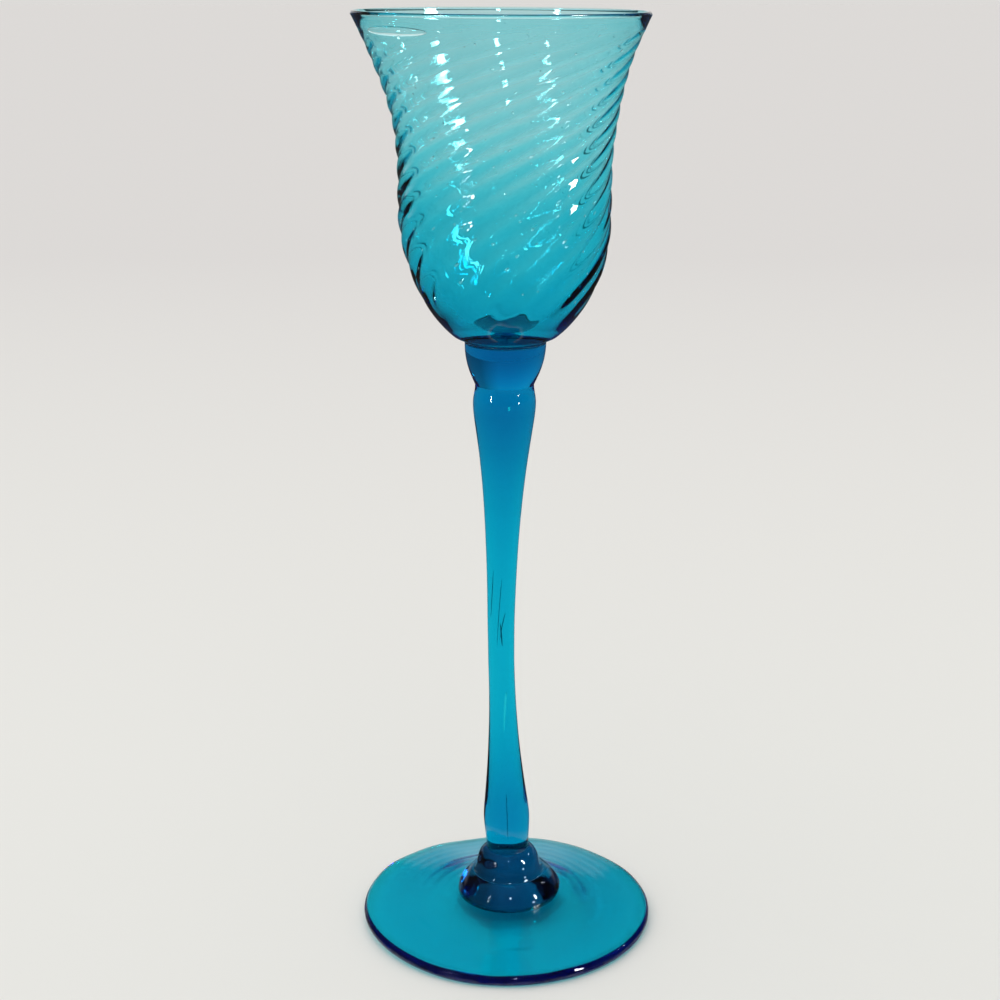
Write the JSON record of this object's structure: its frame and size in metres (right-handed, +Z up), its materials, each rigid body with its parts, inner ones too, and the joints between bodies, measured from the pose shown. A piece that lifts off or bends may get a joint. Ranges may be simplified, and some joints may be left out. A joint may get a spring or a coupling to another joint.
{
  "type": "stemmed glass goblet",
  "caption": "Stemmed drinking goblet of turquoise bubble glass: a flared bowl with swirled optic ribs on a collar, a slim drawn stem, a tiered knop and a round foot.",
  "frame": {"origin": "centre of the foot's resting ring, on the surface that the goblet stands on", "axes": "+Z up along the axis of the stem, from the foot to the rim"},
  "size_m": [0.0814, 0.0814, 0.25],
  "materials": {
    "bowl_glass": "blown soda-lime glass, turquoise, thin and pale with fine seeds, fire polished",
    "stem_glass": "solid drawn soda-lime glass, deep turquoise, fire polished",
    "knop_glass": "solid soda-lime glass bead, deep blue where it is thick, fire polished",
    "foot_glass": "spun soda-lime glass plate, turquoise, fire polished"
  },
  "bodies": {
    "root": {"foot": "foot_glass", "foot_merese": "knop_glass", "stem_knop": "knop_glass", "stem": "stem_glass", "bowl_collar": "stem_glass", "bowl": "bowl_glass"}
  },
  "joints": []
}
